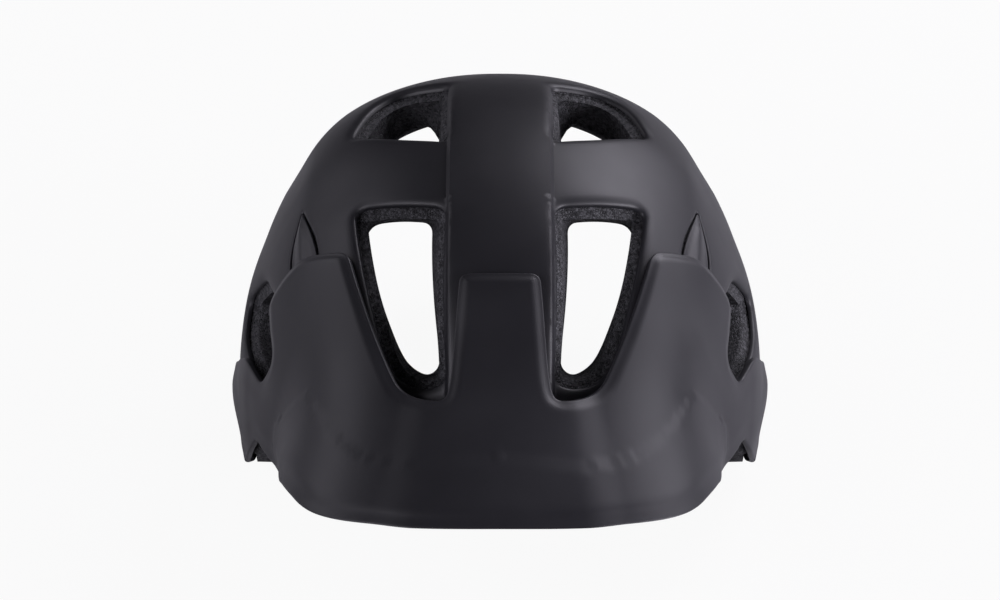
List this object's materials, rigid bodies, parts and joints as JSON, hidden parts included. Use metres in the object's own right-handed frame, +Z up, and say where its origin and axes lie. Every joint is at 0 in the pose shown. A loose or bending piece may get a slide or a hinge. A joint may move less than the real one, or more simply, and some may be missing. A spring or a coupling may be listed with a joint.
{
  "type": "cycling helmet",
  "caption": "Black trail-riding cycle helmet: vented foam liner with shell skins, push-fit visor, dial-tensioned fit ring, pads and buckled chin harness.",
  "frame": {"origin": "the middle of the head opening, at the height of the flat ear tips that the helmet stands on: the head mount", "axes": "+Z up, the helmet faces -Y, +X is to the right of someone who looks at its front"},
  "size_m": [0.221, 0.3189, 0.1595],
  "materials": {
    "shell": "satin-matte thin polycarbonate skin",
    "visor": "fine-textured matte moulded plastic",
    "foam": "beaded expanded polystyrene",
    "nylon": "moulded nylon",
    "rubber": "soft-touch grip",
    "webbing": "woven polyester webbing",
    "padding": "knitted fabric over foam"
  },
  "bodies": {
    "helmet": {"foam_liner": "foam", "shell_upper": "shell", "shell_lower": "shell", "pad_brow": "padding", "pad_crown_front": "padding", "pad_crown_rear": "padding", "pad_side_left": "padding", "pad_side_right": "padding", "fit_anchor_left": "nylon", "fit_anchor_right": "nylon", "strap_anchor_front_left": "nylon", "strap_anchor_front_right": "nylon", "strap_anchor_rear_left": "nylon", "strap_anchor_rear_right": "nylon", "strap_front_left": "webbing", "strap_front_right": "webbing", "strap_rear_left": "webbing", "strap_rear_right": "webbing", "strap_divider_left": "nylon", "strap_divider_right": "nylon", "strap_chin_left": "webbing", "strap_chin_right": "webbing", "strap_keeper": "nylon", "buckle_socket": "nylon", "pad_chin": "padding"},
    "visor": {"visor": "visor", "visor_tongue_left": "visor", "visor_tongue_right": "visor", "visor_clip_left": "nylon", "visor_clip_right": "nylon", "visor_key": "nylon"},
    "fit_ring": {"fit_band_left": "nylon", "fit_band_right": "nylon", "fit_cradle": "nylon", "fit_height_strap": "nylon", "dial_housing": "nylon", "pad_nape_left": "padding", "pad_nape_right": "padding"},
    "dial": {"dial_knob": "rubber", "dial_pinion": "nylon"},
    "left_arm": {"fit_arm_left": "nylon"},
    "right_arm": {"fit_arm_right": "nylon"},
    "buckle_tab": {"buckle_tab": "nylon"}
  },
  "joints": [
    {"name": "visor_release", "type": "slide", "parent": "helmet", "child": "visor", "axis": [0, -0.85, 0.5268], "range_m": [0, 0.2]},
    {"name": "fit_tilt", "type": "hinge", "parent": "helmet", "child": "fit_ring", "pos_m": [0, 0.031, 0.081], "axis": [1, 0, 0], "range_deg": [-5, 5]},
    {"name": "dial_turn", "type": "hinge", "parent": "fit_ring", "child": "dial", "pos_m": [0, 0.105, 0.028], "axis": [0, 1, 0], "range_deg": [0, 130]},
    {"name": "left_arm", "type": "hinge", "parent": "fit_ring", "child": "left_arm", "pos_m": [0, 0.03, 0.055], "axis": [0, 0, 1], "range_deg": [-5.9, 0]},
    {"name": "right_arm", "type": "hinge", "parent": "fit_ring", "child": "right_arm", "pos_m": [0, 0.03, 0.055], "axis": [0, 0, 1], "range_deg": [0, 5.9]},
    {"name": "buckle_release", "type": "slide", "parent": "helmet", "child": "buckle_tab", "axis": [1, 0, 0], "range_m": [0, 0.024]}
  ],
  "couplings": [
    {"joint": "left_arm", "follows": "dial_turn", "ratio": -0.0448},
    {"joint": "right_arm", "follows": "dial_turn", "ratio": 0.0448}
  ]
}
